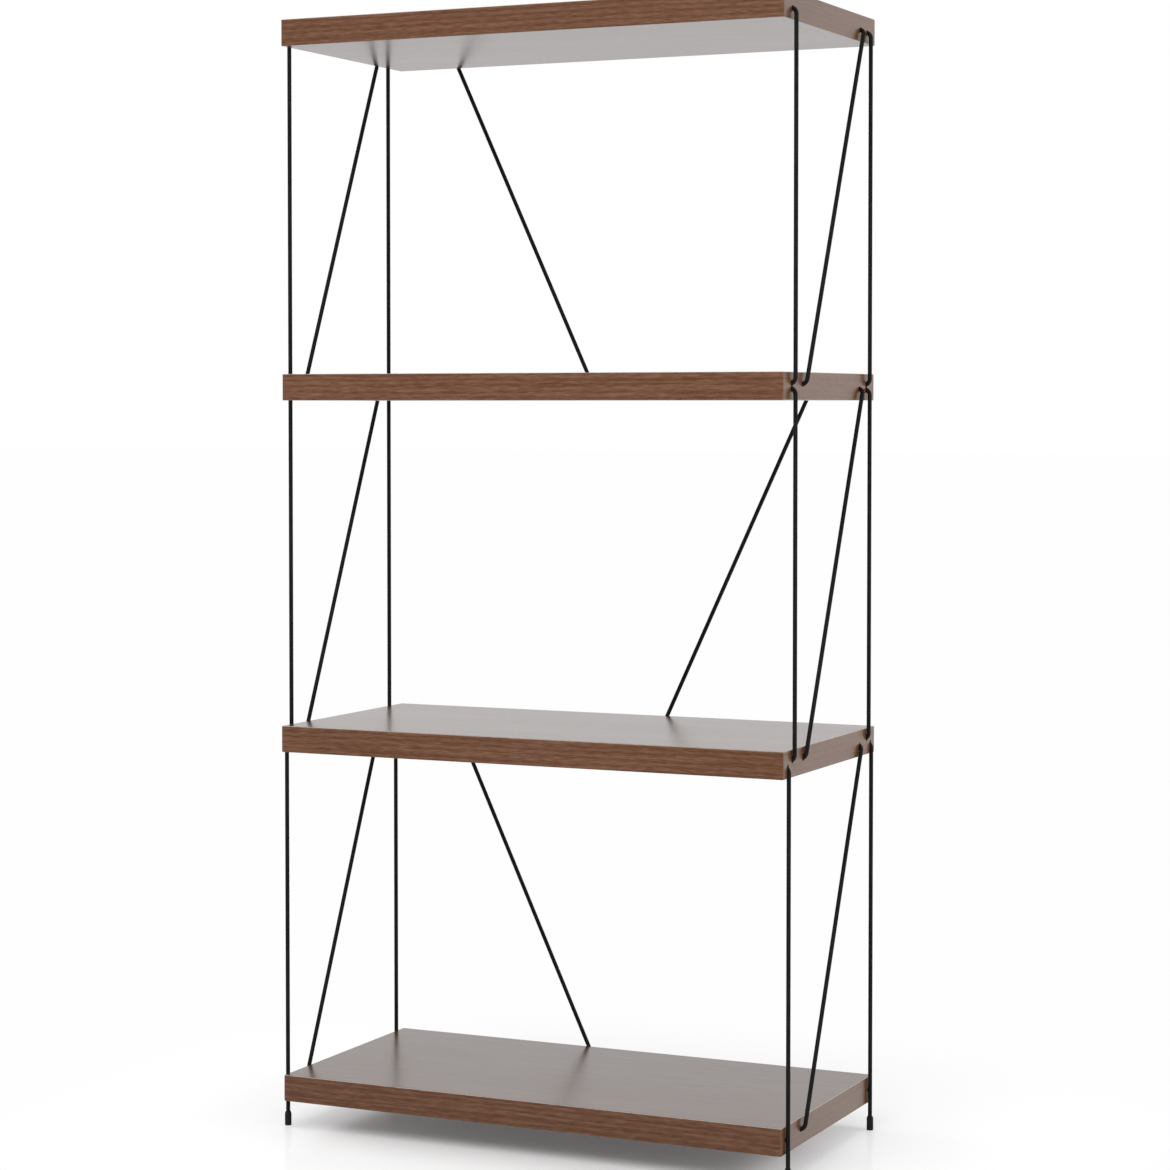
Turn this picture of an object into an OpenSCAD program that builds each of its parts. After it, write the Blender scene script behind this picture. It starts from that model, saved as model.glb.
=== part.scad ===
// Free-standing open bookshelf: four thick boards carried one above the other by thin bent rods.
// Every rod ends in a hook that plugs into a blind hole in a board's end or back face.
// Millimetres, +Z up, +X to the right along the front, the front faces -Y.
// The origin is on the floor, under the middle of the whole shelf's outline.

/* [Shelf boards] */
// Length of the top, upper and bottom boards
shelf_w = 772; // [500:1:1200]
// Depth of the top and upper boards
shelf_d = 360; // [260:1:500]
// Thickness of every board
shelf_t = 38; // [24:1:60]
// How far the lower board stands out past the others at each end
lower_lip = 2; // [0:0.5:2]
// How far the lower and bottom boards stand out past the others at the front and the back
base_lip = 1.5; // [0:0.5:6]
// Bevel along every edge of a board
edge_ease = 0.6; // [0.2:0.1:2]

/* [Heights] */
// Clear height between two boards
bay_h = 470; // [250:1:600]
// Height of the bottom board above the floor
ground_gap = 39; // [30:1:120]

/* [Rods] */
// Diameter of the uprights, legs and braces
rod_d = 6; // [5:0.5:8]
// Air between the uprights and the end of the lower board
upright_air = 0.3; // [0.2:0.1:4]
// Air between the legs and the end of the bottom board
leg_air = 0.4; // [0.2:0.1:4]
// Distance of an upright from the front or back edge of the upper boards
upright_inset = 32; // [15:1:80]
// Distance of a leg from the front or back edge of the bottom board
leg_inset = 17; // [12:0.5:60]
// Air between two hooks that lie one above the other in the upper board
stack_air = 0.3; // [0.1:0.1:1]
// Radius of a rod's bend, along its centre line
bend_r = 8.5; // [6:0.5:12]

/* [Hooks and their holes] */
// How far a hook reaches into a board
hook_in = 22; // [10:1:40]
// Air around a hook in its hole
hole_air = 0.2; // [0.1:0.05:0.5]
// Depth of a hole beyond the hook's end
hole_spare = 2; // [1:0.5:6]
// Diameter of the pin on a leg that carries the bottom board
pin_d = 5; // [3:0.5:7]

/* [Braces] */
// Distance of a side brace's upper hook from the back edge of the upper boards
side_brace_back = 60; // [45:1:120]
// Distance of a side brace's lower hook from the front edge of the upper boards
side_brace_front = 73; // [45:1:120]
// Height of a brace's hook from the middle of the board's thickness
brace_rise = 2; // [0:0.5:6]
// Air between the back braces and the back edge of the lower board
back_air = 2; // [0.5:0.25:6]
// Distance of the outer hook of the top and bottom back braces from the board's end
back_outer = 89; // [50:1:180]
// Distance of the inner hook of the top and bottom back braces from the board's middle
back_inner = 62; // [40:1:150]
// Distance of the outer hook of the middle back brace from the board's end
middle_outer = 98; // [50:1:180]
// Distance of the inner hook of the middle back brace from the board's middle
middle_inner = 52; // [40:1:150]

/* [Foot caps] */
// Outer diameter of a foot cap
cap_d = 9.6; // [9:0.2:20]
// Height of a foot cap
cap_h = 20; // [14:1:28]
// Thickness of the cap under the leg's end
cap_floor = 3; // [1.5:0.5:6]
// Height of the cap's tapered top
cap_taper = 2.5; // [1:0.5:5]
// Thickness of the cap's wall at its top rim
cap_rim = 0.8; // [0.4:0.1:1]
// Bevel around the cap's foot
cap_ease = 0.5; // [0.2:0.1:1]
// Air between a cap's bore and the leg
cap_air = 0.05; // [0.02:0.01:0.2]

/* [Hidden] */
$fn = 48;
over = 1;
SHELVES = ["top", "upper", "lower", "bottom"];
TOP = 0;
UPPER = 1;
LOWER = 2;
BOTTOM = len(SHELVES) - 1;
BAYS = ["top", "middle", "bottom"];
MIDDLE_BAY = 1;
LAST_BAY = len(BAYS) - 1;
UPRIGHT_BAYS = [0 : MIDDLE_BAY];
SIDES = [["left", -1], ["right", 1]];
FACES = [["front", -1], ["back", 1]];

pitch = bay_h + shelf_t;
half_t = shelf_t / 2;
upright_x = shelf_w / 2 + lower_lip + rod_d / 2 + upright_air;
leg_x = shelf_w / 2 + rod_d / 2 + leg_air;
upright_y = shelf_d / 2 - upright_inset;
leg_y = shelf_d / 2 + base_lip - leg_inset;
back_y = shelf_d / 2 + base_lip + rod_d / 2 + back_air;
hook_rise = (rod_d + stack_air) / 2;
inner_r = bend_r - rod_d / 2;
brace_back_y = shelf_d / 2 - side_brace_back;
brace_front_y = side_brace_front - shelf_d / 2;
brace_run = brace_back_y - brace_front_y;
brace_height = pitch - 2 * brace_rise;
brace_lean = atan2(brace_run, brace_height);
hole_deep = hook_in + hole_spare;
hole_d = rod_d + 2 * hole_air;
frame_y = (back_y + rod_d / 2 - shelf_d / 2 - base_lip) / 2;

walnut = "#7d5844";
black_steel = "#202020";
black_rubber = "#121212";

// Height of the middle of a board's thickness; the boards count from the top down
function shelf_mid(i) = ground_gap + half_t + (BOTTOM - i) * pitch;
// Half a board's length
function half_w(i) = shelf_w / 2 + (i == LOWER ? lower_lip : 0);
// Half a board's depth
function half_d(i) = shelf_d / 2 + (i >= LOWER ? base_lip : 0);
// Places along X of a back brace's upper and lower hooks; the middle one leans the other way
function back_top_x(b) = b == MIDDLE_BAY ? shelf_w / 2 - middle_outer : back_outer - shelf_w / 2;
function back_low_x(b) = b == MIDDLE_BAY ? middle_inner : -back_inner;

// Puts a left-hand copy where the side is -1
module on_side(side) {
  if (side > 0) children();
  else mirror([1, 0, 0]) children();
}

// Moves the assembly so that its outline is centred over the origin
module in_frame() {
  translate([0, -frame_y, 0]) children();
}

// Rectangle with its corners cut off
module eased_rectangle(a, b) {
  x = a / 2;
  y = b / 2;
  e = edge_ease;
  polygon([
    [x - e, y], [x, y - e], [x, e - y], [x - e, -y],
    [e - x, -y], [-x, e - y], [-x, y - e], [e - x, y]
  ]);
}

// Slab with a fine bevel along all its edges
module eased_slab(w, d, t) {
  intersection() {
    linear_extrude(t, center = true) eased_rectangle(w, d);
    rotate([90, 0, 0]) linear_extrude(d, center = true) eased_rectangle(w, t);
    rotate([90, 0, 90]) linear_extrude(w, center = true) eased_rectangle(d, t);
  }
}

// How far the inside of the bend turns before it enters a face that lies off away from the rod's axis
function entry(off) = acos(1 - min(max(off - rod_d / 2, 0) / inner_r, 1));
// How far the rod stands past its hook's own hole, along the face, where it enters the face
function reach(off) = inner_r * (1 - sin(entry(off)));
// How far board i's end face lies from the uprights' and side braces' axes
function end_off(i) = upright_x - half_w(i);
// How far board i's back face lies from the back braces' axes
function back_off(i) = back_y - half_d(i);
// Lean of the back brace of bay b, to the right going up
function back_lean(b) = atan2(back_top_x(b) - back_low_x(b), brace_height);

// Blind slot into +Z: from the hook's hole at the origin it runs long along +X or, below zero, along -X
module slot(long) {
  deep = hole_deep + over;
  cylinder(h = deep, d = hole_d);
  if (long != 0) {
    translate([long, 0, 0]) cylinder(h = deep, d = hole_d);
    translate([min(long, 0), -hole_d / 2, 0]) cube([abs(long), hole_d, deep]);
  }
}

// Slot in board i's right end face, along a rod that leans to the back by lean going up
module end_slot(i, y, z, long, lean = 0) {
  translate([half_w(i) - hole_deep, y, z])
    rotate([-lean, 0, 0])
      rotate([0, 90, 0])
        slot(-long);
}

// Slot in board i's back face, along a rod that leans to the right by lean going up
module back_slot(i, x, z, long, lean) {
  translate([x, half_d(i) - hole_deep, z])
    rotate([0, lean, 0])
      rotate([0, -90, 0])
        rotate([-90, 0, 0])
          slot(long);
}

// Hole for a leg's welded pin in the bottom board's right end face
module pin_hole(y) {
  translate([half_w(BOTTOM) - hole_deep, y, 0])
    rotate([0, 90, 0])
      cylinder(h = hole_deep + over, d = pin_d + 2 * hole_air);
}

// Slot for a leg's hook in the lower board, and the shallow groove that the leg stands in below it
module leg_slot(y) {
  end_slot(LOWER, y, -hook_rise, -reach(leg_x - half_w(LOWER)));
  translate([leg_x, y, -half_t - over]) cylinder(h = half_t + over - hook_rise, d = hole_d);
}

// All holes in the two ends of board i
module end_holes(i) {
  long = reach(end_off(i));
  for (s = SIDES) on_side(s[1]) {
    for (f = FACES) {
      if (i == TOP) end_slot(i, f[1] * upright_y, -hook_rise, -long);
      if (i == UPPER) end_slot(i, f[1] * upright_y, -hook_rise - long, 2 * (hook_rise + long));
      if (i == LOWER) end_slot(i, f[1] * upright_y, hook_rise, long);
      if (i == LOWER) leg_slot(f[1] * leg_y);
      if (i == BOTTOM) pin_hole(f[1] * leg_y);
    }
    if (i < BOTTOM) end_slot(i, brace_back_y, -brace_rise, -long, brace_lean);
    if (i > TOP) end_slot(i, brace_front_y, brace_rise, long, brace_lean);
  }
}

// All holes in the back of board i
module back_holes(i) {
  long = reach(back_off(i));
  if (i < BOTTOM) back_slot(i, back_top_x(i), -brace_rise, -long, back_lean(i));
  if (i > TOP) back_slot(i, back_low_x(i - 1), brace_rise, long, back_lean(i - 1));
}

// Board i with its holes
module shelf(i) {
  color(walnut)
    in_frame()
      translate([0, 0, shelf_mid(i)])
        difference() {
          eased_slab(2 * half_w(i), 2 * half_d(i), shelf_t);
          end_holes(i);
          back_holes(i);
        }
}

// Bend and hook at the rod's lower end: the rod rises from it, and the hook points to -X.
// The board's face lies off away from the rod's axis.
module hook(off) {
  translate([-bend_r, 0, bend_r])
    rotate([90, 0, 0])
      rotate([0, 0, -90])
        rotate_extrude(angle = 90)
          translate([bend_r, 0])
            circle(d = rod_d);
  translate([-bend_r, 0, 0])
    rotate([0, -90, 0])
      cylinder(h = off - bend_r + hook_in, d = rod_d);
}

// Rod along Z with a hook at both ends; len is the distance between the hooks' axes
module hooked_rod(len, low_off, high_off) {
  hook(low_off);
  translate([0, 0, len]) mirror([0, 0, 1]) hook(high_off);
  translate([0, 0, bend_r]) cylinder(h = len - 2 * bend_r, d = rod_d);
}

// Upright of bay b
module upright(b, face, side) {
  color(black_steel)
    in_frame()
      on_side(side)
        translate([upright_x, face * upright_y, shelf_mid(b + 1) + hook_rise])
          hooked_rod(pitch - 2 * hook_rise, end_off(b + 1), end_off(b));
}

// Leg: hooked into the lower board, with a welded pin for the bottom board, and standing in its cap
module leg(face, side) {
  leg_top = shelf_mid(LOWER) - hook_rise;
  color(black_steel)
    in_frame()
      on_side(side)
        translate([leg_x, face * leg_y, 0]) {
          translate([0, 0, leg_top]) mirror([0, 0, 1]) hook(leg_x - half_w(LOWER));
          translate([0, 0, cap_floor]) cylinder(h = leg_top - bend_r - cap_floor, d = rod_d);
          translate([0, 0, shelf_mid(BOTTOM)])
            rotate([0, -90, 0])
              cylinder(h = leg_x - half_w(BOTTOM) + hook_in, d = pin_d);
        }
}

// Brace at the end of bay b, from the back of the board above to the front of the board below
module side_brace(b, side) {
  color(black_steel)
    in_frame()
      on_side(side)
        translate([upright_x, brace_front_y, shelf_mid(b + 1) + brace_rise])
          rotate([-brace_lean, 0, 0])
            hooked_rod(norm([brace_run, brace_height]), end_off(b + 1), end_off(b));
}

// Brace across the back of bay b
module back_brace(b) {
  len = brace_height / cos(back_lean(b));
  color(black_steel)
    in_frame()
      translate([back_low_x(b), back_y, shelf_mid(b + 1) + brace_rise])
        rotate([0, back_lean(b), 0])
          rotate([0, 0, 90])
            hooked_rod(len, back_off(b + 1), back_off(b));
}

// Cap on a leg's end, with a tapered top and a blind bore
module foot_cap(face, side) {
  r = cap_d / 2;
  color(black_rubber)
    in_frame()
      on_side(side)
        translate([leg_x, face * leg_y, 0])
          difference() {
            rotate_extrude()
              polygon([
                [0, 0],
                [r - cap_ease, 0],
                [r, cap_ease],
                [r, cap_h - cap_taper],
                [rod_d / 2 + cap_rim, cap_h],
                [0, cap_h]
              ]);
            translate([0, 0, cap_floor]) cylinder(h = cap_h, d = rod_d + 2 * cap_air);
          }
}

for (i = [TOP : BOTTOM])
  shelf(i);

for (b = UPRIGHT_BAYS, f = FACES, s = SIDES)
  upright(b, f[1], s[1]);

for (f = FACES, s = SIDES)
  leg(f[1], s[1]);

for (b = [0 : LAST_BAY], s = SIDES)
  side_brace(b, s[1]);

for (b = [0 : LAST_BAY])
  back_brace(b);

for (f = FACES, s = SIDES)
  foot_cap(f[1], s[1]);
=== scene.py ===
"""Looks of a free-standing open bookshelf: four walnut boards on thin black rods.

Metres, +Z up, +X to the right along the front, the front faces -Y, the floor is at z = 0.
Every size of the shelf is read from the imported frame; the values below are only what the frame doesn't say.
"""

import math

import bmesh
import bpy
from mathutils import Matrix, Vector


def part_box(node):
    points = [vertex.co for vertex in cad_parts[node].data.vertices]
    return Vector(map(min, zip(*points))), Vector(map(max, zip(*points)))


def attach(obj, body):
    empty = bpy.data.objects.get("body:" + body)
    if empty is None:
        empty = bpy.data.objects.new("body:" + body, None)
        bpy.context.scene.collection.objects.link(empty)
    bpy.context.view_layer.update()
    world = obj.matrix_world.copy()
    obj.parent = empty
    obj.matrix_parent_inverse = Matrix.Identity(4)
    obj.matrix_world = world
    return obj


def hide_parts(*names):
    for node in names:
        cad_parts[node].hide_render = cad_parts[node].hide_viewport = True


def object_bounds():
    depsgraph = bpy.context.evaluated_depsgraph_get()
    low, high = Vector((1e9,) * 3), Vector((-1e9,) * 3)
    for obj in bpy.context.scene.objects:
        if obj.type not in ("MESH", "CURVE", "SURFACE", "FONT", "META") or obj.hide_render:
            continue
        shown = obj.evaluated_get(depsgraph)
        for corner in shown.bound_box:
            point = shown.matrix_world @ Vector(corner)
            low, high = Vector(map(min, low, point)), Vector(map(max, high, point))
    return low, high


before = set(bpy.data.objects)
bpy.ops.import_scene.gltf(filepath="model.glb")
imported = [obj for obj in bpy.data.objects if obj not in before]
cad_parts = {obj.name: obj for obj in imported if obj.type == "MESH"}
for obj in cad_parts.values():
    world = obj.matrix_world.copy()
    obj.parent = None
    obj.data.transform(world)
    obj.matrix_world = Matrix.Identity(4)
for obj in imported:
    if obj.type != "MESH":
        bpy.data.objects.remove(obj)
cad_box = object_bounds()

MM = 0.001
UP = Vector((0, 0, 1))
WHITE = (1.0, 1.0, 1.0, 1.0)

# Names of the boards, the bays between them and the sides, and the one back brace that leans to the right
SHELVES = ("top", "upper", "lower", "bottom")
BAYS = ("top", "middle", "bottom")
SIDES = ("left", "right")
FACES = ("front", "back")
LEANS_RIGHT = "back_brace_middle"

# Camera: the photograph's width and focal length in pixels, its place in metres and its turns in degrees
FRAME_PX = 1170
FOCAL_PX = 2986.2
SENSOR_MM = 36.0
CAMERA_AT = (1.8262, -3.9014, 1.0467)
CAMERA_YAW = 24.972
CAMERA_PITCH = -1.970
CAMERA_SHIFT_Y = -0.065
CAMERA_REACH = 200.0

# Boards: the rounding of their edges, and the band that covers each edge
EDGE_ROUND = 1.2 * MM
EDGE_STEPS = 4
BAND_THICK = 1.2 * MM

# Holes in the boards: air round a rod, spare depth behind its end, and a cutter's start outside the wood
HOLE_AIR = 0.2 * MM
HOLE_SPARE = 2.0 * MM
CUT_OVER = 5.0 * MM
HOLE_SIDES = 32

# Rods: their radius is that of one that stands upright
UPRIGHT_LOW, UPRIGHT_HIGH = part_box("upright_top_front_right")
ROD_R = (UPRIGHT_HIGH.y - UPRIGHT_LOW.y) / 2
HOOK_IN = 22.0 * MM
BEND_R = 8.5 * MM
PIN_D = 5.0 * MM
ROD_SIDES = 32
BEND_STEPS = 12

# Foot caps: the shoulder is where the taper starts, and the rim is round the leg at the top
CAP_TAPER = 2.5 * MM
CAP_FLOOR = 3.0 * MM
CAP_AIR = 0.05 * MM
CAP_SIDES = 48
FOOT_EASE = 0.5 * MM
FOOT_STEPS = 3
SHOULDER = 0.7 * MM
SHOULDER_IN = 0.06 * MM
SHOULDER_DOWN = 0.2 * MM
RIM_WIDTH = 0.8 * MM
RIM_OUT = 0.15 * MM
RIM_DOWN = 0.25 * MM
RIM_EASE = 0.12 * MM
BORE_EASE = 0.15 * MM

# Degrees from which an edge is shaded as sharp
BOARD_SHARP = 35
ROUND_SHARP = 40

# How far, from 0 to 1, a normal has to point to an end, the front or the back for its surface to be there
FACING_LIMIT = 0.7

# Walnut: the seed of each board's grain, and each board's painted light and shade: how much lighter or darker
# the board is painted than the tones below, to stand for the light that falls on it
BOARD_SEEDS = {"top": 1.7, "upper": 4.3, "lower": 7.9, "bottom": 11.2}
BOARD_PAINTED_LIGHT = {"top": 1.02, "upper": 1.09, "lower": 1.04, "bottom": 0.97}

# Streaks: length, width, detail and place in the noise
FACE_STREAKS = (160 * MM, 11 * MM, 4.0, 0.0)
FACE_FINE = (24 * MM, 1.0 * MM, 2.0, 5.0)
FACE_BROAD = (550 * MM, 60 * MM, 2.0, 9.0)
BAND_FINE = (18 * MM, 1.6 * MM, 1.0, 5.0)
BAND_BROAD = (160 * MM, 10 * MM, 2.0, 12.0)
PORES = (10 * MM, 0.42 * MM, 1.0, 15.0)
LINE_DRIFT = (300 * MM, 12 * MM, 2.0, 2.0)
RING_FIELD = (900 * MM, 160 * MM, 1.0, 21.0)
STREAK_ROUGHNESS = 0.55

# Slow sway of the streaks: its scale along and across the grain, and how far it goes on faces and on bands
NOISE_MIDDLE = 0.5
SWAY_ALONG = 5.0
SWAY_ACROSS = 22.0
FACE_SWAY = 30 * MM
BAND_SWAY = 7 * MM

# Shift in the noise of the surfaces that look along X, Y and Z, so that each has a grain of its own
LAYER_SHIFT = (0.37, 0.61, 0.83)

# Growth lines of the edge bands, and rings of the faces
LINE_SPACING = 8.4 * MM
LINE_WANDER = 9.0
LINE_DEPTH = 0.070
RING_COUNT = 11.0
RING_WAVER = 0.10
RING_FOLD = 0.5
RING_DEPTH = 0.16

# Tone of the wood: its middle, the shares of the kinds of streaks, and the contrast of each kind of surface
TONE_MIDDLE = 0.5
STREAK_SHARE = 0.55
FINE_SHARE = 0.33
BROAD_SHARE = 0.12
FACE_CONTRAST = 0.60
FRONT_CONTRAST = 1.50
END_CONTRAST = 0.55

# Colours of the wood from its dark to its light tones, and what covers or tints them; the ends' tint is
# painted shade, which makes the end bands darker and greyer than the same band on the fronts
WOOD_TONES = ((0.37, (83, 45, 16)), (0.45, (93, 55, 29)), (0.55, (105, 69, 46)), (0.63, (115, 80, 58)))
PORE_COLOUR = (62, 36, 20)
PORE_LIMITS = (0.58, 0.70)
PORE_SHOW = 0.35
FACE_TINT = (0.56, 0.55, 0.56, 1.0)
END_PAINTED_SHADE = (0.74, 0.80, 0.86, 1.0)

# Wear of the edges, and a painted highlight along the upper ones: how far it reaches, how far its core does,
# and how strong that is; each pair is for the surfaces that don't look up and for those that do, and
# the larger share on those that look up is mostly painted highlight
WEAR_AND_HIGHLIGHT_COLOUR = (176, 156, 145)
WEAR_HIGHLIGHT_REACH = (1.3 * MM, 1.7 * MM)
WEAR_HIGHLIGHT_CORE = (0.4 * MM, 0.9 * MM)
WEAR_HIGHLIGHT_SHOW = (0.25, 0.90)
WEAR_HIGHLIGHT_FRAY = 0.9 * MM
FRAY_SCALE = 140.0
LOOKS_UP = (0.1, 0.5)

# Glue line between a face and the edge band
GLUE_COLOUR = (48, 29, 20)
GLUE_WIDTH = 0.22 * MM
GLUE_SHOW = 0.5

# Relief: how high the fine streaks stand and how deep the glue line lies, beside pores that are 1 deep
FINE_HEIGHT = 0.35
GLUE_DEPTH = 2.0

# Roughness under the lacquer: the wood's own, what uneven rubbing adds, and what the pores add
WOOD_ROUGHNESS = 0.31
RUB_ROUGHNESS = 0.06
PORE_ROUGHNESS = 0.06
RUB_ALONG = 3.0
RUB_ACROSS = 9.0

# Steel and rubber
STEEL_DARK = (24, 24, 24)
STEEL_LIGHT = (30, 30, 29)
STEEL_ROUGHNESS = 0.46
STEEL_UNEVEN = 0.14
RUBBER_COLOUR = (13, 13, 13)
SCUFF_COLOUR = (40, 39, 38)
SCUFF_FULL = 0.5 * MM
SCUFF_TOP = 3.0 * MM
RUBBER_ROUGHNESS = 0.50
RUBBER_UNEVEN = 0.2

# Floor: a lit surface, into which a plain white one is mixed
FLOOR_HALF = 60.0
FLOOR_LIT = 0.93
FLOOR_PLAIN = 0.99

# Share of the plain white under the shelf and at the shadow's rim, and the distances over which it rises to
# the rim's share and then to the whole; they start at the shelf's outline, drawn in at the ends. Near the
# shelf this glow is painted light: it lightens the shadow, most at its rim and under the ends
SHARE_UNDER = 0.06
SHARE_RIM = 0.36
RIM_RISE = (0.0, 0.13)
FAR_RISE = (0.07, 0.62)
OUTLINE_INSET = 0.12

# Strength of the plain light from the horizon and from high up, and the sine of the height where that starts
LIGHT_LOW = 0.88
LIGHT_HIGH = 0.50
HIGH_FROM = 0.8


class Shader:
    """Builds the nodes of a material or world; a source is a socket, a node or a plain value."""

    # The Mix node's sockets
    NUMBER_INPUTS = (0, 2, 3)
    COLOUR_INPUTS = (0, 6, 7)
    COLOUR_OUTPUT = 2

    def __init__(self, owner):
        owner.use_nodes = True
        self.owner = owner
        self.tree = owner.node_tree
        self.tree.nodes.clear()

    def feed(self, socket, source):
        if isinstance(source, bpy.types.Node):
            source = source.outputs[0]
        if isinstance(source, bpy.types.NodeSocket):
            self.tree.links.new(source, socket)
        else:
            socket.default_value = source

    def feed_all(self, sockets, sources):
        for socket, source in zip(sockets, sources):
            self.feed(socket, source)

    def add(self, kind, settings=None, **sources):
        """One node; an underscore in a source's name stands for a space in the socket's."""
        node = self.tree.nodes.new("ShaderNode" + kind)
        for key, value in (settings or {}).items():
            setattr(node, key, value)
        for key, source in sources.items():
            self.feed(node.inputs[key.replace("_", " ")], source)
        return node

    def math(self, operation, *sources):
        node = self.add("Math", {"operation": operation})
        self.feed_all(node.inputs, sources)
        return node.outputs[0]

    def noise(self, vector, scale, detail, roughness=0.5):
        node = self.add("TexNoise", Vector=vector, Scale=scale, Detail=detail, Roughness=roughness)
        return node.outputs[0]

    def span(self, value, low, high, to_low=0.0, to_high=1.0):
        """Maps value from low..high to to_low..to_high, and holds it there."""
        node = self.add("MapRange", {"interpolation_type": "SMOOTHSTEP"}, Value=value)
        self.feed_all(node.inputs[1:], (low, high, to_low, to_high))
        return node.outputs[0]

    def mix(self, factor, a, b):
        """Mixes two numbers."""
        node = self.add("Mix", {"data_type": "FLOAT"})
        self.feed_all([node.inputs[i] for i in self.NUMBER_INPUTS], (factor, a, b))
        return node.outputs[0]

    def tint(self, factor, a, b, blend="MIX"):
        """Mixes two colours."""
        node = self.add("Mix", {"data_type": "RGBA", "blend_type": blend})
        self.feed_all([node.inputs[i] for i in self.COLOUR_INPUTS], (factor, a, b))
        return node.outputs[self.COLOUR_OUTPUT]

    def join(self, factor, a, b):
        """Mixes two surfaces."""
        node = self.add("MixShader")
        self.feed_all(node.inputs, (factor, a, b))
        return node

    def ramp(self, value, stops):
        """The colour that belongs to value; stops are pairs of a value and a display colour, in order."""
        node = self.add("ValToRGB")
        elements = node.color_ramp.elements
        for element, (at, display) in zip(elements, (stops[0], stops[-1])):
            element.position = at
            element.color = colour(display)
        for at, display in stops[1:-1]:
            elements.new(at).color = colour(display)
        self.feed(node.inputs[0], value)
        return node.outputs[0]

    def vector(self, x, y, z):
        return self.add("CombineXYZ", X=x, Y=y, Z=z).outputs[0]

    def axes(self, vector):
        """The x, y and z of a vector."""
        return self.add("SeparateXYZ", Vector=vector).outputs

    def place(self):
        """Where a point lies in the shelf's frame."""
        return self.add("TexCoord").outputs["Object"]

    def bump(self, height, strength, distance):
        return self.add("Bump", Height=height, Strength=strength, Distance=distance).outputs[0]

    def seen(self):
        """1 for camera, mirror and transmission rays, 0 for the others."""
        ray = self.add("LightPath")
        direct = self.math("MAXIMUM", ray.outputs["Is Camera Ray"], ray.outputs["Is Glossy Ray"])
        return self.math("MAXIMUM", direct, ray.outputs["Is Transmission Ray"])

    def finish(self, surface, output="OutputMaterial"):
        self.feed(self.add(output).inputs["Surface"], surface)
        return self.owner


def colour(display):
    """A display colour, three numbers from 0 to 255, as the linear colour that a shader takes."""
    linear = []
    for level in display:
        v = level / 255.0
        linear.append(v / 12.92 if v <= 0.04045 else ((v + 0.055) / 1.055) ** 2.4)
    return (*linear, 1.0)


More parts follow.
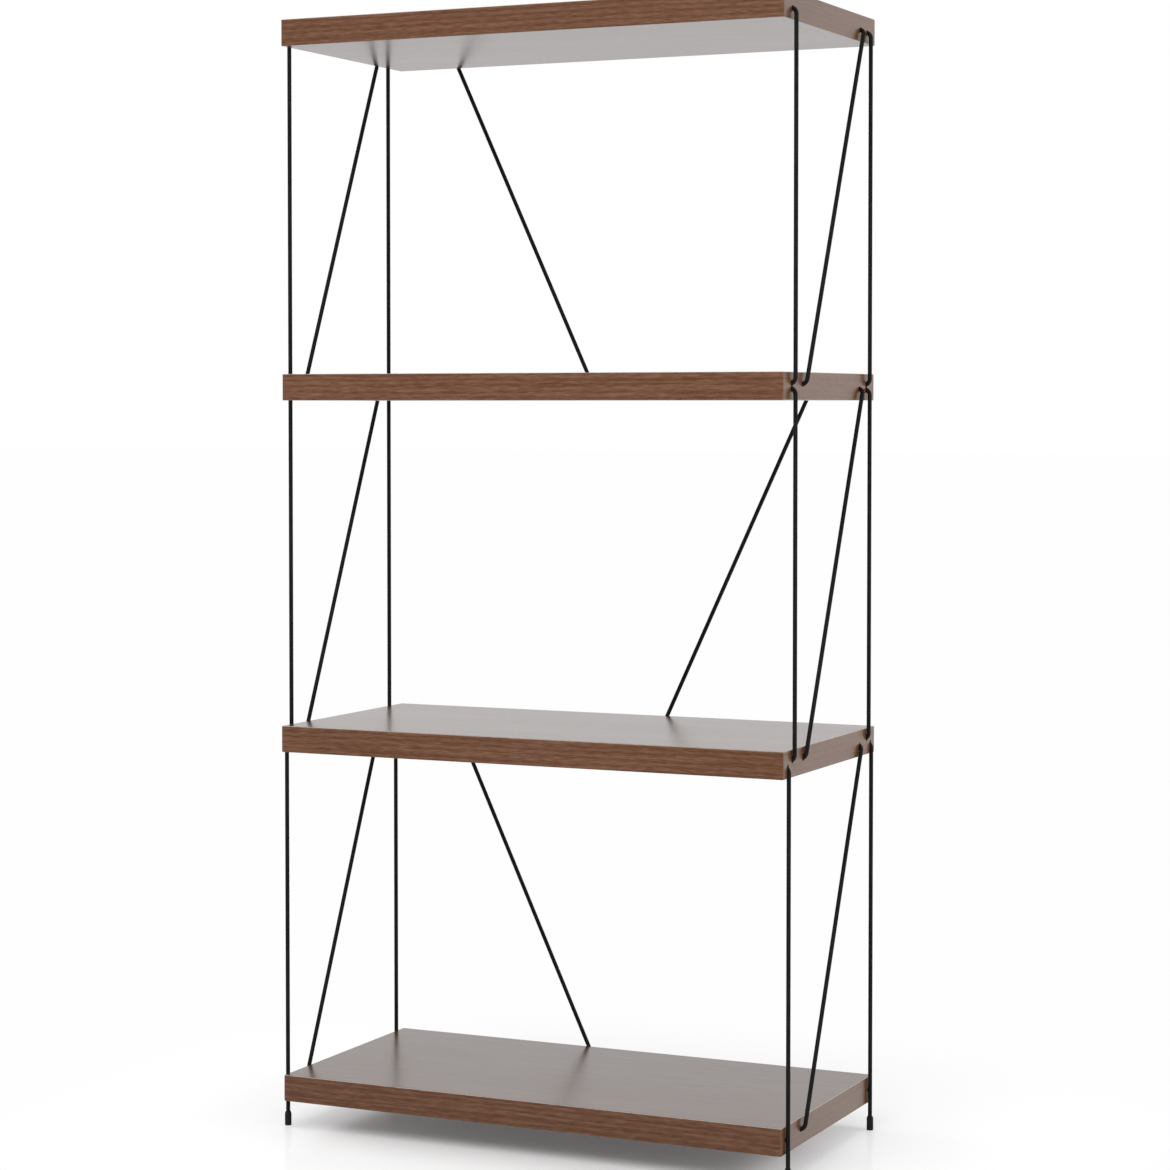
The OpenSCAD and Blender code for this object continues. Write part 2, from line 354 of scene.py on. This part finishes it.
class Grain:
    """Wood grain: along the board on its upper and lower face, and along each band on its edges."""

    def __init__(self, s, place, facing, seed):
        x, y, z = place
        self.s = s
        # Each of these is 1 on its surfaces and 0 on the others
        self.on_end = s.math("GREATER_THAN", s.math("ABSOLUTE", facing[0]), FACING_LIMIT)
        self.on_front = s.math("GREATER_THAN", s.math("ABSOLUTE", facing[1]), FACING_LIMIT)
        self.on_band = s.math("MAXIMUM", self.on_end, self.on_front)
        # The way that a surface looks gives it its own layer of the noise
        self.layer = seed
        for toward, shift in zip(facing, LAYER_SHIFT):
            self.layer = s.math("MULTIPLY_ADD", toward, shift, self.layer)
        self.along = s.mix(self.on_end, x, y)
        self.across = self.swayed(s.mix(self.on_band, y, z))
        self.fine = self.by_surface(FACE_FINE, BAND_FINE)
        self.pores = s.span(self.streaks(PORES), *PORE_LIMITS)

    def swayed(self, across):
        """The way across the grain, with the grain's slow sway."""
        s = self.s
        slow_along = s.math("MULTIPLY", self.along, SWAY_ALONG)
        slow_across = s.math("MULTIPLY", across, SWAY_ACROSS)
        drift = s.noise(s.vector(slow_along, slow_across, self.layer), scale=1.0, detail=3.0)
        reach = s.mix(self.on_band, FACE_SWAY, BAND_SWAY)
        sway = s.math("MULTIPLY", s.math("SUBTRACT", drift, NOISE_MIDDLE), reach)
        return s.math("ADD", across, sway)

    def streaks(self, kind):
        """Streaks of one kind, all over the board."""
        s = self.s
        length, width, detail, shift = kind
        along = s.math("DIVIDE", self.along, length)
        across = s.math("DIVIDE", self.across, width)
        layer = s.math("ADD", self.layer, shift)
        return s.noise(s.vector(along, across, layer), scale=1.0, detail=detail, roughness=STREAK_ROUGHNESS)

    def by_surface(self, face_kind, band_kind):
        """Streaks of one kind on the faces and of another on the bands."""
        return self.s.mix(self.on_band, self.streaks(face_kind), self.streaks(band_kind))

    def growth_lines(self):
        """The long lines of the edge bands, nearly evenly spaced."""
        s = self.s
        phase = s.math("MULTIPLY", self.streaks(LINE_DRIFT), LINE_WANDER)
        wave = s.math("SINE", s.math("MULTIPLY_ADD", self.across, 2 * math.pi / LINE_SPACING, phase))
        return s.math("MULTIPLY_ADD", wave, LINE_DEPTH, TONE_MIDDLE)

    def rings(self):
        """Rings of the tree on the faces: level lines of a slow field, close together."""
        s = self.s
        field = s.math("MULTIPLY", self.streaks(RING_FIELD), RING_COUNT)
        folded = s.math("PINGPONG", s.math("MULTIPLY_ADD", self.fine, RING_WAVER, field), RING_FOLD)
        centred = s.math("SUBTRACT", folded, RING_FOLD / 2)
        return s.math("MULTIPLY", centred, s.mix(self.on_band, RING_DEPTH, 0.0))

    def tone(self):
        """The wood's tone, from dark to light, as the stops of the ramp have it."""
        s = self.s
        streaks = s.mix(self.on_band, self.streaks(FACE_STREAKS), self.growth_lines())
        broad = s.math("MULTIPLY", self.by_surface(FACE_BROAD, BAND_BROAD), BROAD_SHARE)
        tone = s.math("MULTIPLY_ADD", self.fine, FINE_SHARE, broad)
        tone = s.math("MULTIPLY_ADD", streaks, STREAK_SHARE, tone)
        tone = s.math("ADD", s.math("SUBTRACT", tone, TONE_MIDDLE), self.rings())
        contrast = s.mix(self.on_end, s.mix(self.on_front, FACE_CONTRAST, FRONT_CONTRAST), END_CONTRAST)
        return s.math("MULTIPLY_ADD", tone, contrast, TONE_MIDDLE)

    def wood(self, painted_light):
        """Colour of the wood with the board's painted light and shade, without the edges' wear and painted
        highlight.
        """
        s = self.s
        wood = s.ramp(self.tone(), WOOD_TONES)
        wood = s.tint(s.math("MULTIPLY", self.pores, PORE_SHOW), wood, colour(PORE_COLOUR))
        wood = s.tint(s.math("SUBTRACT", 1.0, self.on_band), wood, FACE_TINT, "MULTIPLY")
        # Painted shade: the end bands darker and greyer than the fronts
        wood = s.tint(self.on_end, wood, END_PAINTED_SHADE, "MULTIPLY")
        # Painted light and shade: the whole board is made lighter or darker
        return s.tint(1.0, wood, (painted_light, painted_light, painted_light, 1.0), "MULTIPLY")


def edge_distance(s, place, low, high):
    """Distance to the board's nearest edge: the middle one of the three distances to its surfaces."""
    centre = (low + high) / 2
    half = (high - low) / 2
    gaps = [
        s.math("SUBTRACT", half[i], s.math("ABSOLUTE", s.math("SUBTRACT", v, centre[i])))
        for i, v in enumerate(place)
    ]
    smaller = s.math("MINIMUM", gaps[0], gaps[1])
    larger = s.math("MAXIMUM", gaps[0], gaps[1])
    return s.math("MAXIMUM", smaller, s.math("MINIMUM", larger, gaps[2]))


def edge_wear_and_highlight(s, place, rise, to_edge):
    """Edge colour's share: a frayed line of wear on every edge, with painted highlight most where the normal
    rises.
    """
    up = s.span(rise, *LOOKS_UP)
    ragged = s.noise(s.vector(*place), scale=FRAY_SCALE, detail=3.0)
    frayed = s.math("ADD", to_edge, s.math("MULTIPLY", ragged, WEAR_HIGHLIGHT_FRAY))
    return s.span(frayed, s.mix(up, *WEAR_HIGHLIGHT_REACH), s.mix(up, *WEAR_HIGHLIGHT_CORE), 0.0, s.mix(up, *WEAR_HIGHLIGHT_SHOW))


def glue_line(s, to_edge, on_band):
    """1 on the fine line between a face and the edge band."""
    off_line = s.math("ABSOLUTE", s.math("SUBTRACT", to_edge, BAND_THICK))
    return s.math("MULTIPLY", s.span(off_line, GLUE_WIDTH, GLUE_WIDTH / 3), s.math("SUBTRACT", 1.0, on_band))


def walnut(name, low, high, seed, painted_light):
    """Lacquered walnut laminate with edge bands, for the board between low and high, with painted light and
    shade.
    """
    s = Shader(bpy.data.materials.new(name))
    place = s.axes(s.place())
    facing = s.axes(s.add("NewGeometry").outputs["Normal"])
    grain = Grain(s, place, facing, seed)
    to_edge = edge_distance(s, place, low, high)
    glue = glue_line(s, to_edge, grain.on_band)
    # Real wear along every edge, and a painted highlight mostly along the upper ones
    wood = s.tint(edge_wear_and_highlight(s, place, facing[2], to_edge), grain.wood(painted_light), colour(WEAR_AND_HIGHLIGHT_COLOUR))
    wood = s.tint(s.math("MULTIPLY", glue, GLUE_SHOW), wood, colour(GLUE_COLOUR))

    rub_along = s.math("MULTIPLY", place[0], RUB_ALONG)
    rub_across = s.math("MULTIPLY", place[1], RUB_ACROSS)
    rub = s.noise(s.vector(rub_along, rub_across, grain.layer), scale=1.0, detail=3.0)
    rough = s.math("MULTIPLY_ADD", rub, RUB_ROUGHNESS, WOOD_ROUGHNESS)
    rough = s.math("ADD", rough, s.math("MULTIPLY", grain.pores, PORE_ROUGHNESS))
    sunk = s.math("ADD", grain.pores, s.math("MULTIPLY", glue, GLUE_DEPTH))
    relief = s.math("SUBTRACT", s.math("MULTIPLY", grain.fine, FINE_HEIGHT), sunk)
    shade = s.add(
        "BsdfPrincipled",
        Base_Color=wood,
        Roughness=rough,
        IOR=1.20,
        Coat_Weight=0.80,
        Coat_IOR=1.35,
        Coat_Roughness=0.24,
        Normal=s.bump(relief, strength=0.05, distance=0.1 * MM),
    )
    return s.finish(shade)


def black_steel():
    """Black powder coat: fine orange peel and slight unevenness."""
    s = Shader(bpy.data.materials.new("black_powder_coat"))
    place = s.place()
    peel = s.noise(place, scale=900.0, detail=2.0)
    patches = s.noise(place, scale=45.0, detail=4.0)
    shade = s.add(
        "BsdfPrincipled",
        Base_Color=s.tint(s.span(patches, low=0.35, high=0.7), colour(STEEL_DARK), colour(STEEL_LIGHT)),
        Roughness=s.math("MULTIPLY_ADD", patches, STEEL_UNEVEN, STEEL_ROUGHNESS),
        IOR=1.12,
        Normal=s.bump(peel, strength=0.03, distance=0.1 * MM),
    )
    return s.finish(shade)


def black_rubber():
    """Matt black rubber, scuffed grey near the floor."""
    s = Shader(bpy.data.materials.new("black_rubber"))
    place = s.place()
    grit = s.noise(place, scale=2200.0, detail=2.0)
    blotch = s.noise(place, scale=260.0, detail=3.0)
    near_floor = s.span(s.axes(place)[2], SCUFF_TOP, SCUFF_FULL)
    scuff = s.math("MULTIPLY", near_floor, s.span(blotch, low=0.45, high=0.65))
    shade = s.add(
        "BsdfPrincipled",
        Base_Color=s.tint(scuff, colour(RUBBER_COLOUR), colour(SCUFF_COLOUR)),
        Roughness=s.math("MULTIPLY_ADD", blotch, RUBBER_UNEVEN, RUBBER_ROUGHNESS),
        IOR=1.3,
        Normal=s.bump(grit, strength=0.15, distance=0.1 * MM),
    )
    return s.finish(shade)


def link_mesh(name, bm, material=None):
    """A mesh object in the scene, made from a bmesh."""
    mesh = bpy.data.meshes.new(name)
    bm.to_mesh(mesh)
    bm.free()
    made = bpy.data.objects.new(name, mesh)
    bpy.context.scene.collection.objects.link(made)
    if material:
        mesh.materials.append(material)
    return made


def new_piece(name, bm, material, slot, *nodes):
    """Makes a piece from a bmesh and lets it stand for the named CAD nodes."""
    piece = link_mesh(name, bm, material)
    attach(piece, "root")
    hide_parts(*nodes)
    return piece


def shade_by_angle(piece, degrees):
    """Smooth faces, with the edges sharper than this left sharp and the flat faces kept flat."""
    piece.data.shade_smooth()
    piece.data.set_sharp_from_angle(angle=math.radians(degrees))
    flat = piece.modifiers.new("flat_faces", "WEIGHTED_NORMAL")
    flat.keep_sharp = True
    flat.weight = 100


def rounded_box(low, high):
    """A box with all its edges rounded."""
    bm = bmesh.new()
    bmesh.ops.create_cube(bm, size=1.0)
    size = high - low
    for v in bm.verts:
        v.co = Vector((low[i] + (v.co[i] + 0.5) * size[i] for i in range(3)))
    bmesh.ops.bevel(
        bm,
        geom=bm.edges[:],
        offset=EDGE_ROUND,
        segments=EDGE_STEPS,
        profile=0.5,
        affect="EDGES",
    )
    return bm


def cut(piece, cutters):
    """Cuts the cutters' shapes out of a piece."""
    for bm in cutters:
        tool = link_mesh("cutter", bm)
        mesh = tool.data
        step = piece.modifiers.new("hole", "BOOLEAN")
        step.operation = "DIFFERENCE"
        step.solver = "EXACT"
        step.object = tool
        with bpy.context.temp_override(object=piece, active_object=piece):
            bpy.ops.object.modifier_apply(modifier=step.name)
        bpy.data.objects.remove(tool)
        bpy.data.meshes.remove(mesh)


def tube(bm, path, side, radius):
    """Sweeps a round section along path, a list of (point, direction) in the plane square to side."""
    rings = []
    for point, direction in path:
        up = direction.cross(side)
        ring = []
        for k in range(ROD_SIDES):
            a = 2 * math.pi * k / ROD_SIDES
            ring.append(bm.verts.new(point + radius * (math.cos(a) * side + math.sin(a) * up)))
        rings.append(ring)
    for low_ring, high_ring in zip(rings, rings[1:]):
        for k in range(ROD_SIDES):
            n = (k + 1) % ROD_SIDES
            bm.faces.new((low_ring[k], low_ring[n], high_ring[n], high_ring[k]))
    bm.faces.new(rings[0][::-1])
    bm.faces.new(rings[-1])


def bend_path(corner, from_dir, to_dir):
    """Points round a square bend whose centre lines meet at corner."""
    centre = corner - from_dir * BEND_R + to_dir * BEND_R
    found = []
    for k in range(BEND_STEPS + 1):
        a = math.pi / 2 * k / BEND_STEPS
        out = -to_dir * math.cos(a) + from_dir * math.sin(a)
        found.append((centre + out * BEND_R, from_dir * math.cos(a) + to_dir * math.sin(a)))
    return found


def rod_line(name):
    """The points where a rod's centre lines meet, low and high, and the way from the rod into the boards."""
    low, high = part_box(name)
    low_corner = low + Vector((ROD_R, ROD_R, ROD_R))
    high_corner = high - Vector((ROD_R, ROD_R, ROD_R))
    if name.startswith("back_brace"):
        low_corner.y = high_corner.y
        if name != LEANS_RIGHT:
            low_corner.x, high_corner.x = high_corner.x, low_corner.x
        return low_corner, high_corner, Vector((0, -1, 0))
    if name.endswith("right"):
        low_corner.x = high_corner.x
        return low_corner, high_corner, Vector((-1, 0, 0))
    high_corner.x = low_corner.x
    return low_corner, high_corner, Vector((1, 0, 0))


def board_middle(shelf):
    """Height of the middle of a board's thickness."""
    low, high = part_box("shelf_" + shelf)
    return (low.z + high.z) / 2


def face_gap(corner, inward, shelf):
    """How far a rod's axis stands off the board's end or back face."""
    low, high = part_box("shelf_" + shelf)
    if inward.y:
        return corner.y - high.y
    return corner.x - high.x if inward.x < 0 else low.x - corner.x


def hook_end(corner, inward, shelf):
    """Where the hook or pin that leaves a rod at corner ends inside the board."""
    return corner + inward * (face_gap(corner, inward, shelf) + HOOK_IN)


def hooked_rod(name, low_shelf, high_shelf):
    """A rod with a square hook at both ends."""
    low, high, inward = rod_line(name)
    rise = (high - low).normalized()
    path = [(hook_end(low, inward, low_shelf), -inward)]
    path += bend_path(low, -inward, rise)
    path += bend_path(high, rise, inward)
    path.append((hook_end(high, inward, high_shelf), inward))
    bm = bmesh.new()
    tube(bm, path, rise.cross(inward).normalized(), ROD_R)
    bmesh.ops.recalc_face_normals(bm, faces=bm.faces[:])
    return bm


def leg_rod(name):
    """A leg: hooked at its top, with a welded pin for the bottom board."""
    low, high, inward = rod_line(name)
    foot = Vector((low.x, low.y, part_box(name)[0].z))
    pin = Vector((low.x, low.y, board_middle("bottom")))
    path = [(foot, UP)] + bend_path(high, UP, inward)
    path.append((hook_end(high, inward, "lower"), inward))
    bm = bmesh.new()
    tube(bm, path, UP.cross(inward), ROD_R)
    tube(bm, [(pin, inward), (hook_end(pin, inward, "bottom"), inward)], UP, PIN_D / 2)
    bmesh.ops.recalc_face_normals(bm, faces=bm.faces[:])
    return bm


def hooks_in(shelf):
    """Names of the rods that plug into a board, with the end that does: low or high."""
    below = SHELVES.index(shelf)
    found = []
    for bay, end in ((below - 1, "low"), (below, "high")):
        if not 0 <= bay < len(BAYS):
            continue
        found.append((f"back_brace_{BAYS[bay]}", end))
        for side in SIDES:
            found.append((f"side_brace_{BAYS[bay]}_{side}", end))
            if BAYS[bay] != "bottom":
                found += [(f"upright_{BAYS[bay]}_{face}_{side}", end) for face in FACES]
            elif end == "high":
                found += [(f"leg_{face}_{side}", end) for face in FACES]
    return found


def slot_reach(gap):
    """How far a rod stands past its hook's own hole where it enters a face this far from its axis."""
    inner = BEND_R - ROD_R
    turn = math.acos(1 - min(max(gap - ROD_R, 0) / inner, 1))
    return inner * (1 - math.sin(turn))


def slot_cutter(start, inward, along, long, radius):
    """A slot's cutter: round ends at start and long further along, and as deep as every hole."""
    side = inward.cross(along)
    outline = []
    for middle, turn in ((start, 1), (start + along * long, -1)):
        for k in range(HOLE_SIDES // 2 + 1):
            a = math.pi * k / (HOLE_SIDES // 2)
            outline.append(middle + turn * radius * (math.cos(a) * side - math.sin(a) * along))
    bm = bmesh.new()
    near = [bm.verts.new(p - inward * CUT_OVER) for p in outline]
    far = [bm.verts.new(p + inward * (HOOK_IN + HOLE_SPARE)) for p in outline]
    bm.faces.new(near)
    bm.faces.new(far[::-1])
    for k in range(len(outline)):
        n = (k + 1) % len(outline)
        bm.faces.new((near[k], near[n], far[n], far[k]))
    bmesh.ops.recalc_face_normals(bm, faces=bm.faces[:])
    return bm


def round_cutter(start, end, radius):
    """A cylinder between two points, for a round hole or groove."""
    axis = end - start
    turn = axis.to_track_quat("Z", "Y").to_matrix().to_4x4()
    bm = bmesh.new()
    bmesh.ops.create_cone(
        bm,
        cap_ends=True,
        segments=HOLE_SIDES,
        radius1=radius,
        radius2=radius,
        depth=axis.length,
        matrix=Matrix.Translation((start + end) / 2) @ turn,
    )
    return bm


def rod_cutters(shelf):
    """A slot's cutter for each hook in a board, and a groove's for each leg that hooks into it."""
    radius = ROD_R + HOLE_AIR
    cutters = []
    for name, end in hooks_in(shelf):
        is_leg = name.startswith("leg")
        low_corner, high_corner, inward = rod_line(name)
        corner, other = (low_corner, high_corner) if end == "low" else (high_corner, low_corner)
        if is_leg:
            other = corner - UP
        away = (other - corner).normalized()
        gap = face_gap(corner, inward, shelf)
        back = 0.0
        if shelf == "upper" and name.startswith("upright"):
            # Two stacked hooks share one slot
            if end == "low":
                continue
            back = 2 * abs(corner.z - board_middle(shelf)) + slot_reach(gap)
        start = corner + inward * gap - away * back
        cutters.append(slot_cutter(start, inward, away, back + slot_reach(gap), radius))
        if is_leg:
            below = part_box("shelf_" + shelf)[0].z - CUT_OVER
            cutters.append(round_cutter(Vector((corner.x, corner.y, below)), corner, radius))
    return cutters


def pin_cutters(shelf):
    """A hole's cutter for each leg's pin in a board."""
    cutters = []
    for side in SIDES:
        for face in FACES:
            corner, _, inward = rod_line(f"leg_{face}_{side}")
            pin = Vector((corner.x, corner.y, board_middle(shelf)))
            start = pin + inward * face_gap(corner, inward, shelf)
            end = start + inward * (HOOK_IN + HOLE_SPARE)
            cutters.append(round_cutter(start - inward * CUT_OVER, end, PIN_D / 2 + HOLE_AIR))
    return cutters


def board(shelf):
    """One board: rounded edges, and the blind slots and holes that its rods plug into."""
    node = "shelf_" + shelf
    low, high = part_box(node)
    material = walnut("walnut_" + shelf, low, high, BOARD_SEEDS[shelf], BOARD_PAINTED_LIGHT[shelf])
    piece = new_piece(shelf + "_board", rounded_box(low, high), material, "walnut", node)
    cut(piece, rod_cutters(shelf))
    if shelf == "bottom":
        cut(piece, pin_cutters(shelf))
    shade_by_angle(piece, BOARD_SHARP)


def cap_profile(r, tall):
    """A foot cap's outline as (radius, height), from the middle of its foot round to its bore's floor."""
    bore = ROD_R + CAP_AIR
    rim = ROD_R + RIM_WIDTH
    top = tall - CAP_TAPER
    slope = Vector((rim - r, CAP_TAPER)).normalized()
    profile = [(0, 0), (r - FOOT_EASE, 0)]
    for k in range(1, FOOT_STEPS + 1):
        a = math.pi / 2 * k / FOOT_STEPS
        profile.append((r - FOOT_EASE + FOOT_EASE * math.sin(a), FOOT_EASE - FOOT_EASE * math.cos(a)))
    profile += [
        (r, top - SHOULDER),
        (r - SHOULDER_IN, top - SHOULDER_DOWN),
        (r + slope.x * SHOULDER, top + slope.y * SHOULDER),
        (rim + RIM_OUT, tall - RIM_DOWN),
        (rim - RIM_EASE, tall),
        (bore + RIM_EASE, tall),
        (bore, tall - BORE_EASE),
        (bore, CAP_FLOOR),
        (0, CAP_FLOOR),
    ]
    return profile


def foot_cap(name):
    """A rubber cap: turned round its axis, tapered at the top, with a blind bore for the leg."""
    low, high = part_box(name)
    axis = Vector(((low.x + high.x) / 2, (low.y + high.y) / 2, 0))
    bm = bmesh.new()
    rings = []
    for radius, z in cap_profile((high.x - low.x) / 2, high.z):
        ring = []
        for k in range(CAP_SIDES if radius else 1):
            a = 2 * math.pi * k / CAP_SIDES
            ring.append(bm.verts.new(axis + Vector((radius * math.cos(a), radius * math.sin(a), z))))
        rings.append(ring)
    for a, b in zip(rings, rings[1:]):
        for k in range(CAP_SIDES):
            n = (k + 1) % CAP_SIDES
            # A ring of one point is the same at both corners, which a face takes once
            corners = [a[k % len(a)], a[n % len(a)], b[n % len(b)], b[k % len(b)]]
            bm.faces.new(list(dict.fromkeys(corners)))
    bmesh.ops.recalc_face_normals(bm, faces=bm.faces[:])
    return bm


def round_piece(node, ending, bm, material, slot):
    """A swept or turned piece that stands for one node."""
    shade_by_angle(new_piece(node + ending, bm, material, slot, node), ROUND_SHARP)


def build_shelf():
    """Every piece of the shelf."""
    for shelf in SHELVES:
        board(shelf)
    steel = black_steel()
    rubber = black_rubber()
    corners = [f"{face}_{side}" for side in SIDES for face in FACES]
    for corner in corners:
        node = "foot_cap_" + corner
        round_piece(node, "_rubber", foot_cap(node), rubber, "black_rubber")
    for bay, high_shelf, low_shelf in zip(BAYS, SHELVES, SHELVES[1:]):
        nodes = [f"back_brace_{bay}"] + [f"side_brace_{bay}_{side}" for side in SIDES]
        if bay != "bottom":
            nodes += [f"upright_{bay}_{corner}" for corner in corners]
        for node in nodes:
            round_piece(node, "_rod", hooked_rod(node, low_shelf, high_shelf), steel, "black_steel")
    for corner in corners:
        node = "leg_" + corner
        round_piece(node, "_rod", leg_rod(node), steel, "black_steel")


def floor_material():
    """A pale surface, lit and shaded near the shelf with a painted glow in the shadow, that turns plain white
    further away.
    """
    s = Shader(bpy.data.materials.new("studio_floor"))
    place = s.axes(s.place())
    beyond = []
    for i, inset in enumerate((OUTLINE_INSET, 0.0)):
        off_middle = s.math("ABSOLUTE", place[i])
        beyond.append(s.math("MAXIMUM", s.math("SUBTRACT", off_middle, cad_box[1][i] - inset), 0.0))
    squares = s.math("MULTIPLY_ADD", beyond[0], beyond[0], s.math("MULTIPLY", beyond[1], beyond[1]))
    away = s.math("SQRT", squares)
    # Painted light: a glow that lightens the shadow under the shelf and at its rim, more under the ends
    near = s.span(away, *RIM_RISE, SHARE_UNDER, SHARE_RIM)
    share = s.mix(s.span(away, *FAR_RISE), near, 1.0)
    lit = s.add(
        "BsdfPrincipled",
        Base_Color=(FLOOR_LIT, FLOOR_LIT, FLOOR_LIT, 1.0),
        Specular_IOR_Level=0.0,
        Coat_Weight=0.45,
        Coat_Roughness=0.18,
    )
    plain = s.add("Emission", Color=WHITE, Strength=FLOOR_PLAIN)
    return s.finish(s.join(s.math("MULTIPLY", s.seen(), share), lit, plain))


def floor():
    """A pale floor that keeps the shelf's shadow, lightened by a painted glow, and runs into the white
    background.
    """
    bm = bmesh.new()
    bmesh.ops.create_grid(bm, x_segments=1, y_segments=1, size=FLOOR_HALF)
    link_mesh("floor", bm, floor_material())


def softbox(name, place, target, size, level, glossy=False):
    """A square soft box; level is the brightness that it gives a white surface facing it at its target."""
    away = Vector(place) - Vector(target)
    data = bpy.data.lights.new(name, "AREA")
    data.shape = "SQUARE"
    data.size = size
    data.energy = level * math.pi**2 * away.length_squared
    lamp = bpy.data.objects.new(name, data)
    lamp.location = place
    lamp.rotation_mode = "QUATERNION"
    lamp.rotation_quaternion = away.to_track_quat("Z", "Y")
    lamp.visible_camera = False
    lamp.visible_glossy = glossy
    bpy.context.scene.collection.objects.link(lamp)


def studio():
    """White surroundings, plain light that is stronger near the horizon, and four soft boxes."""
    world = bpy.data.worlds.new("studio")
    bpy.context.scene.world = world
    s = Shader(world)
    rise = s.axes(s.add("TexCoord").outputs["Generated"])[2]
    plain = s.add("Background", Color=WHITE, Strength=s.span(rise, 0.0, HIGH_FROM, LIGHT_LOW, LIGHT_HIGH))
    white = s.add("Background", Color=WHITE, Strength=1.0)
    s.finish(s.join(s.seen(), plain, white), "OutputWorld")
    softbox("key_light", place=(0.0, -2.7, 3.4), target=(0.0, 0.0, 0.6), size=2.2, level=0.35, glossy=True)
    softbox("top_light", place=(0.0, -0.4, 4.6), target=(0.0, 0.0, 0.0), size=3.4, level=0.26)
    softbox("left_light", place=(-3.0, 0.3, 0.9), target=(0.0, 0.0, 0.2), size=1.7, level=0.46)
    softbox("right_light", place=(2.9, 0.6, 0.9), target=(0.0, 0.0, 0.2), size=1.7, level=0.48)


def camera():
    """The photograph's view: nearly level, with a little shift."""
    data = bpy.data.cameras.new("camera")
    data.sensor_width = SENSOR_MM
    data.lens = FOCAL_PX / FRAME_PX * SENSOR_MM
    data.shift_y = CAMERA_SHIFT_Y
    data.clip_end = CAMERA_REACH
    seen_from = bpy.data.objects.new("camera", data)
    seen_from.location = CAMERA_AT
    seen_from.rotation_euler = (math.radians(90 + CAMERA_PITCH), 0.0, math.radians(CAMERA_YAW))
    bpy.context.scene.collection.objects.link(seen_from)
    bpy.context.scene.camera = seen_from


bpy.context.scene.view_settings.view_transform = "Standard"
camera()
build_shelf()
floor()
studio()
